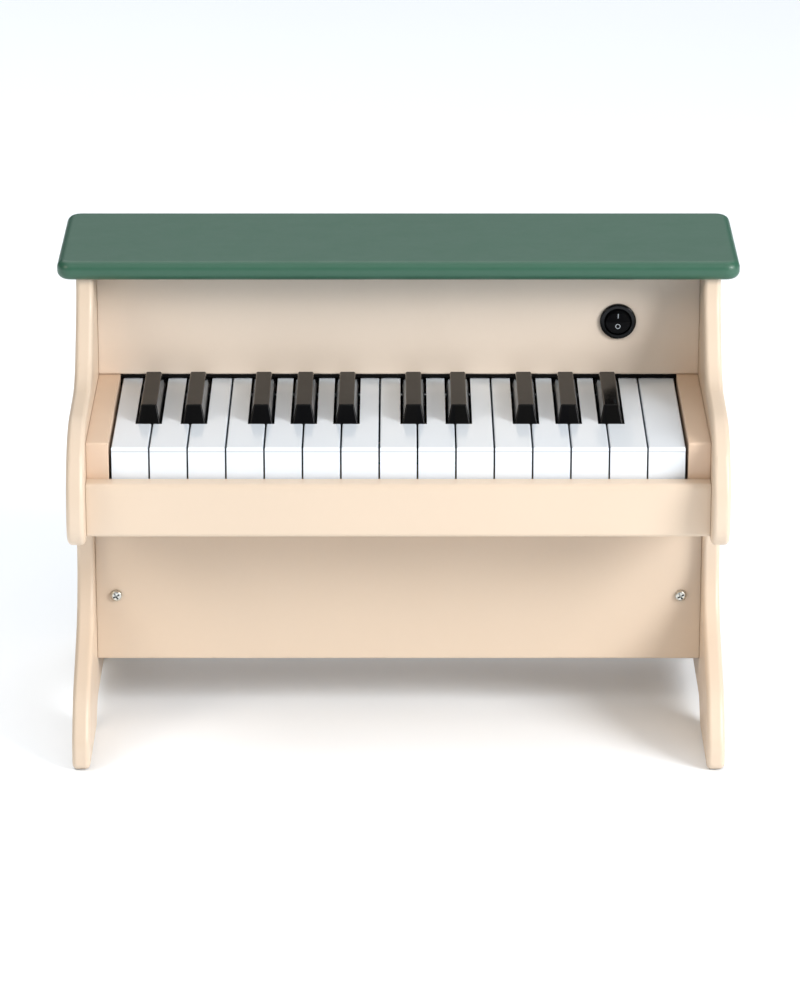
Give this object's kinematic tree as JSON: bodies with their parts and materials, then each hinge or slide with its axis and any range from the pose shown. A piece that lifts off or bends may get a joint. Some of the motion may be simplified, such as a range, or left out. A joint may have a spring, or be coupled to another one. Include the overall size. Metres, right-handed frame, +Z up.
{
  "type": "toy piano",
  "caption": "Small wooden upright toy piano with tilting white and black keys, a rounded green lid, curved side boards and a round rocker switch.",
  "frame": {"origin": "on the floor under the middle of the overall box", "axes": "+X to the right along the keyboard, +Y from the keys to the back panel, +Z up"},
  "size_m": [0.4304, 0.24, 0.293],
  "materials": {
    "cream_paint": "satin paint on fibreboard",
    "green_paint": "satin paint on fibreboard",
    "plain_wood": "bare sanded pine",
    "white_key_plastic": "gloss",
    "black_key_plastic": "gloss",
    "switch_plastic": "fine moulded satin",
    "steel_rod": "drawn bright",
    "comb_plastic": "moulded matte",
    "felt": "pressed wool felt",
    "contact_rubber": "matte silicone",
    "circuit_board": "solder mask",
    "board_parts": "moulded",
    "terminal_brass": "stamped",
    "speaker_steel": "black lacquer",
    "speaker_paper": "pressed paper",
    "speaker_magnet": "ferrite",
    "battery_plastic": "moulded matte",
    "battery_cell": "plain wrap",
    "zinc_screw": "bright zinc",
    "wire_plastic": "flexible sleeve"
  },
  "bodies": {
    "cabinet": {"axle_comb": "comb_plastic", "back_panel": "cream_paint", "battery_box": "battery_plastic", "battery_cells": "battery_cell", "battery_cover": "battery_plastic", "board_components": "board_parts", "board_screws": "zinc_screw", "board_standoffs": "comb_plastic", "contact_board": "circuit_board", "contact_strip": "contact_rubber", "corner_blocks": "plain_wood", "key_axle": "steel_rod", "key_battens": "plain_wood", "key_bed": "plain_wood", "key_felts": "felt", "key_rail": "cream_paint", "left_key_cheek": "cream_paint", "left_side_board": "cream_paint", "lid": "green_paint", "lid_dowels": "plain_wood", "lower_front_panel": "cream_paint", "lower_panel_screws": "zinc_screw", "main_board": "circuit_board", "rear_battens": "plain_wood", "rear_screws": "zinc_screw", "right_key_cheek": "cream_paint", "right_side_board": "cream_paint", "speaker_basket": "speaker_steel", "speaker_cone": "speaker_paper", "speaker_magnet": "speaker_magnet", "switch_housing": "switch_plastic", "switch_terminals": "terminal_brass", "upper_front_panel": "cream_paint", "wire_leads": "wire_plastic"},
    "white_key_01": {"white_key_01": "white_key_plastic"},
    "white_key_02": {"white_key_02": "white_key_plastic"},
    "white_key_03": {"white_key_03": "white_key_plastic"},
    "white_key_04": {"white_key_04": "white_key_plastic"},
    "white_key_05": {"white_key_05": "white_key_plastic"},
    "white_key_06": {"white_key_06": "white_key_plastic"},
    "white_key_07": {"white_key_07": "white_key_plastic"},
    "white_key_08": {"white_key_08": "white_key_plastic"},
    "white_key_09": {"white_key_09": "white_key_plastic"},
    "white_key_10": {"white_key_10": "white_key_plastic"},
    "white_key_11": {"white_key_11": "white_key_plastic"},
    "white_key_12": {"white_key_12": "white_key_plastic"},
    "white_key_13": {"white_key_13": "white_key_plastic"},
    "white_key_14": {"white_key_14": "white_key_plastic"},
    "white_key_15": {"white_key_15": "white_key_plastic"},
    "black_key_01": {"black_key_01": "black_key_plastic"},
    "black_key_02": {"black_key_02": "black_key_plastic"},
    "black_key_03": {"black_key_03": "black_key_plastic"},
    "black_key_04": {"black_key_04": "black_key_plastic"},
    "black_key_05": {"black_key_05": "black_key_plastic"},
    "black_key_06": {"black_key_06": "black_key_plastic"},
    "black_key_07": {"black_key_07": "black_key_plastic"},
    "black_key_08": {"black_key_08": "black_key_plastic"},
    "black_key_09": {"black_key_09": "black_key_plastic"},
    "black_key_10": {"black_key_10": "black_key_plastic"},
    "switch_rocker": {"switch_rocker": "switch_plastic"}
  },
  "joints": [
    {"name": "white_key_01_press", "type": "hinge", "parent": "cabinet", "child": "white_key_01", "pos_m": [0, 0.0515, 0.1897], "axis": [1, 0, 0], "range_deg": [0, 2.2], "stiffness_Nm_per_rad": 0.4, "springref_deg": -14.32},
    {"name": "white_key_02_press", "type": "hinge", "parent": "cabinet", "child": "white_key_02", "pos_m": [0, 0.0515, 0.1897], "axis": [1, 0, 0], "range_deg": [0, 2.2], "stiffness_Nm_per_rad": 0.4, "springref_deg": -14.32},
    {"name": "white_key_03_press", "type": "hinge", "parent": "cabinet", "child": "white_key_03", "pos_m": [0, 0.0515, 0.1897], "axis": [1, 0, 0], "range_deg": [0, 2.2], "stiffness_Nm_per_rad": 0.4, "springref_deg": -14.32},
    {"name": "white_key_04_press", "type": "hinge", "parent": "cabinet", "child": "white_key_04", "pos_m": [0, 0.0515, 0.1897], "axis": [1, 0, 0], "range_deg": [0, 2.2], "stiffness_Nm_per_rad": 0.4, "springref_deg": -14.32},
    {"name": "white_key_05_press", "type": "hinge", "parent": "cabinet", "child": "white_key_05", "pos_m": [0, 0.0515, 0.1897], "axis": [1, 0, 0], "range_deg": [0, 2.2], "stiffness_Nm_per_rad": 0.4, "springref_deg": -14.32},
    {"name": "white_key_06_press", "type": "hinge", "parent": "cabinet", "child": "white_key_06", "pos_m": [0, 0.0515, 0.1897], "axis": [1, 0, 0], "range_deg": [0, 2.2], "stiffness_Nm_per_rad": 0.4, "springref_deg": -14.32},
    {"name": "white_key_07_press", "type": "hinge", "parent": "cabinet", "child": "white_key_07", "pos_m": [0, 0.0515, 0.1897], "axis": [1, 0, 0], "range_deg": [0, 2.2], "stiffness_Nm_per_rad": 0.4, "springref_deg": -14.32},
    {"name": "white_key_08_press", "type": "hinge", "parent": "cabinet", "child": "white_key_08", "pos_m": [0, 0.0515, 0.1897], "axis": [1, 0, 0], "range_deg": [0, 2.2], "stiffness_Nm_per_rad": 0.4, "springref_deg": -14.32},
    {"name": "white_key_09_press", "type": "hinge", "parent": "cabinet", "child": "white_key_09", "pos_m": [0, 0.0515, 0.1897], "axis": [1, 0, 0], "range_deg": [0, 2.2], "stiffness_Nm_per_rad": 0.4, "springref_deg": -14.32},
    {"name": "white_key_10_press", "type": "hinge", "parent": "cabinet", "child": "white_key_10", "pos_m": [0, 0.0515, 0.1897], "axis": [1, 0, 0], "range_deg": [0, 2.2], "stiffness_Nm_per_rad": 0.4, "springref_deg": -14.32},
    {"name": "white_key_11_press", "type": "hinge", "parent": "cabinet", "child": "white_key_11", "pos_m": [0, 0.0515, 0.1897], "axis": [1, 0, 0], "range_deg": [0, 2.2], "stiffness_Nm_per_rad": 0.4, "springref_deg": -14.32},
    {"name": "white_key_12_press", "type": "hinge", "parent": "cabinet", "child": "white_key_12", "pos_m": [0, 0.0515, 0.1897], "axis": [1, 0, 0], "range_deg": [0, 2.2], "stiffness_Nm_per_rad": 0.4, "springref_deg": -14.32},
    {"name": "white_key_13_press", "type": "hinge", "parent": "cabinet", "child": "white_key_13", "pos_m": [0, 0.0515, 0.1897], "axis": [1, 0, 0], "range_deg": [0, 2.2], "stiffness_Nm_per_rad": 0.4, "springref_deg": -14.32},
    {"name": "white_key_14_press", "type": "hinge", "parent": "cabinet", "child": "white_key_14", "pos_m": [0, 0.0515, 0.1897], "axis": [1, 0, 0], "range_deg": [0, 2.2], "stiffness_Nm_per_rad": 0.4, "springref_deg": -14.32},
    {"name": "white_key_15_press", "type": "hinge", "parent": "cabinet", "child": "white_key_15", "pos_m": [0, 0.0515, 0.1897], "axis": [1, 0, 0], "range_deg": [0, 2.2], "stiffness_Nm_per_rad": 0.4, "springref_deg": -14.32},
    {"name": "black_key_01_press", "type": "hinge", "parent": "cabinet", "child": "black_key_01", "pos_m": [0, 0.0515, 0.1897], "axis": [1, 0, 0], "range_deg": [0, 2.2], "stiffness_Nm_per_rad": 0.4, "springref_deg": -14.32},
    {"name": "black_key_02_press", "type": "hinge", "parent": "cabinet", "child": "black_key_02", "pos_m": [0, 0.0515, 0.1897], "axis": [1, 0, 0], "range_deg": [0, 2.2], "stiffness_Nm_per_rad": 0.4, "springref_deg": -14.32},
    {"name": "black_key_03_press", "type": "hinge", "parent": "cabinet", "child": "black_key_03", "pos_m": [0, 0.0515, 0.1897], "axis": [1, 0, 0], "range_deg": [0, 2.2], "stiffness_Nm_per_rad": 0.4, "springref_deg": -14.32},
    {"name": "black_key_04_press", "type": "hinge", "parent": "cabinet", "child": "black_key_04", "pos_m": [0, 0.0515, 0.1897], "axis": [1, 0, 0], "range_deg": [0, 2.2], "stiffness_Nm_per_rad": 0.4, "springref_deg": -14.32},
    {"name": "black_key_05_press", "type": "hinge", "parent": "cabinet", "child": "black_key_05", "pos_m": [0, 0.0515, 0.1897], "axis": [1, 0, 0], "range_deg": [0, 2.2], "stiffness_Nm_per_rad": 0.4, "springref_deg": -14.32},
    {"name": "black_key_06_press", "type": "hinge", "parent": "cabinet", "child": "black_key_06", "pos_m": [0, 0.0515, 0.1897], "axis": [1, 0, 0], "range_deg": [0, 2.2], "stiffness_Nm_per_rad": 0.4, "springref_deg": -14.32},
    {"name": "black_key_07_press", "type": "hinge", "parent": "cabinet", "child": "black_key_07", "pos_m": [0, 0.0515, 0.1897], "axis": [1, 0, 0], "range_deg": [0, 2.2], "stiffness_Nm_per_rad": 0.4, "springref_deg": -14.32},
    {"name": "black_key_08_press", "type": "hinge", "parent": "cabinet", "child": "black_key_08", "pos_m": [0, 0.0515, 0.1897], "axis": [1, 0, 0], "range_deg": [0, 2.2], "stiffness_Nm_per_rad": 0.4, "springref_deg": -14.32},
    {"name": "black_key_09_press", "type": "hinge", "parent": "cabinet", "child": "black_key_09", "pos_m": [0, 0.0515, 0.1897], "axis": [1, 0, 0], "range_deg": [0, 2.2], "stiffness_Nm_per_rad": 0.4, "springref_deg": -14.32},
    {"name": "black_key_10_press", "type": "hinge", "parent": "cabinet", "child": "black_key_10", "pos_m": [0, 0.0515, 0.1897], "axis": [1, 0, 0], "range_deg": [0, 2.2], "stiffness_Nm_per_rad": 0.4, "springref_deg": -14.32},
    {"name": "rocker_tilt", "type": "hinge", "parent": "cabinet", "child": "switch_rocker", "pos_m": [0.14037, 0.045, 0.24265], "axis": [-1, 0, 0], "range_deg": [0, 20]}
  ]
}
